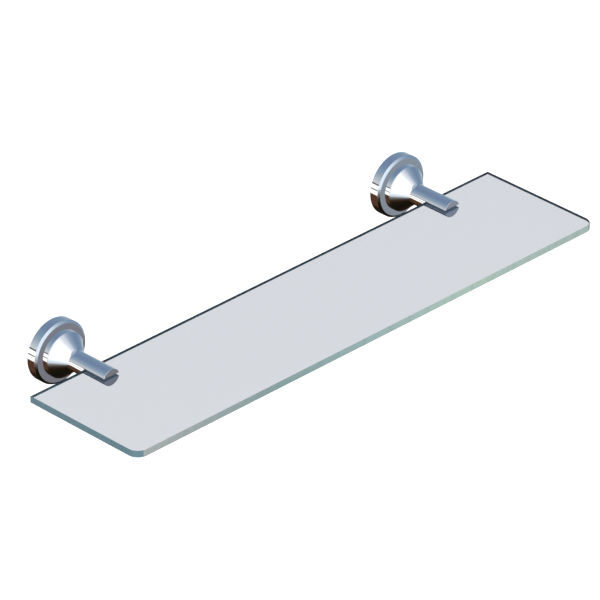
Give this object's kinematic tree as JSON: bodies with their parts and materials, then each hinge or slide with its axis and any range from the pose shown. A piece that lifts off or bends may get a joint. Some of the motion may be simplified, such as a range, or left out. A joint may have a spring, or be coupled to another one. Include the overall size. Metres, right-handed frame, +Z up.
{
  "type": "glass wall shelf",
  "caption": "Clear glass shelf held at its back edge in the slotted posts of chrome wall brackets with round rosettes.",
  "frame": {"origin": "on the wall plane, midway between the brackets, at the height of the bracket axes; it is the centre of the wall screw holes", "axes": "+X along the shelf, to the right as a person faces the wall; +Y into the wall; +Z up"},
  "size_m": [0.51, 0.165, 0.0542],
  "materials": {
    "shelf_glass": "clear toughened float glass, polished edges",
    "rosette_chrome": "bright chrome plate",
    "collar_chrome": "bright chrome plate",
    "post_chrome": "bright chrome plate",
    "plate_steel": "zinc plated, dull",
    "bolt_steel": "stainless, machined",
    "washer_steel": "stainless, pressed",
    "screw_steel": "stainless, machined",
    "nylon": "natural nylon",
    "liner": "dark grey soft vinyl"
  },
  "bodies": {
    "wall_plates": {"left_wall_plate": "plate_steel", "right_wall_plate": "plate_steel"},
    "shelf": {"glass_shelf": "shelf_glass"},
    "left_bracket": {"left_rosette": "rosette_chrome", "left_collar": "collar_chrome", "left_post": "post_chrome", "left_slot_liner": "liner", "left_post_bolt": "bolt_steel", "left_bolt_washer": "washer_steel"},
    "left_lock": {"left_rosette_screw": "screw_steel"},
    "left_tip": {"left_screw_tip": "nylon"},
    "left_clamp": {"left_glass_screw": "screw_steel"},
    "right_bracket": {"right_rosette": "rosette_chrome", "right_collar": "collar_chrome", "right_post": "post_chrome", "right_slot_liner": "liner", "right_post_bolt": "bolt_steel", "right_bolt_washer": "washer_steel"},
    "right_lock": {"right_rosette_screw": "screw_steel"},
    "right_tip": {"right_screw_tip": "nylon"},
    "right_clamp": {"right_glass_screw": "screw_steel"}
  },
  "joints": [
    {"name": "left_bracket_pull", "type": "slide", "parent": "wall_plates", "child": "left_bracket", "axis": [0, -1, 0], "range_m": [0, 0.012]},
    {"name": "left_lock_out", "type": "slide", "parent": "left_bracket", "child": "left_lock", "axis": [0, 0, -1], "range_m": [0, 0.0015]},
    {"name": "left_tip_slide", "type": "slide", "parent": "left_bracket", "child": "left_tip", "axis": [0, 0, -1], "range_m": [0, 0.0021]},
    {"name": "left_clamp_turn", "type": "hinge", "parent": "left_tip", "child": "left_clamp", "pos_m": [-0.19, -0.056, -0.006], "axis": [0, 0, -1], "range_deg": [0, 1080]},
    {"name": "right_bracket_pull", "type": "slide", "parent": "wall_plates", "child": "right_bracket", "axis": [0, -1, 0], "range_m": [0, 0.012]},
    {"name": "right_lock_out", "type": "slide", "parent": "right_bracket", "child": "right_lock", "axis": [0, 0, -1], "range_m": [0, 0.0015]},
    {"name": "right_tip_slide", "type": "slide", "parent": "right_bracket", "child": "right_tip", "axis": [0, 0, -1], "range_m": [0, 0.0021]},
    {"name": "right_clamp_turn", "type": "hinge", "parent": "right_tip", "child": "right_clamp", "pos_m": [0.19, -0.056, -0.006], "axis": [0, 0, -1], "range_deg": [0, 1080]},
    {"name": "glass_slide", "type": "slide", "parent": "left_bracket", "child": "shelf", "axis": [0, -1, 0], "range_m": [0, 0.024]}
  ],
  "couplings": [
    {"joint": "left_clamp_turn", "follows": "left_tip_slide", "rad_per_m": 8976},
    {"joint": "right_clamp_turn", "follows": "right_tip_slide", "rad_per_m": 8976},
    {"joint": "right_bracket_pull", "follows": "left_bracket_pull", "ratio": 1}
  ]
}
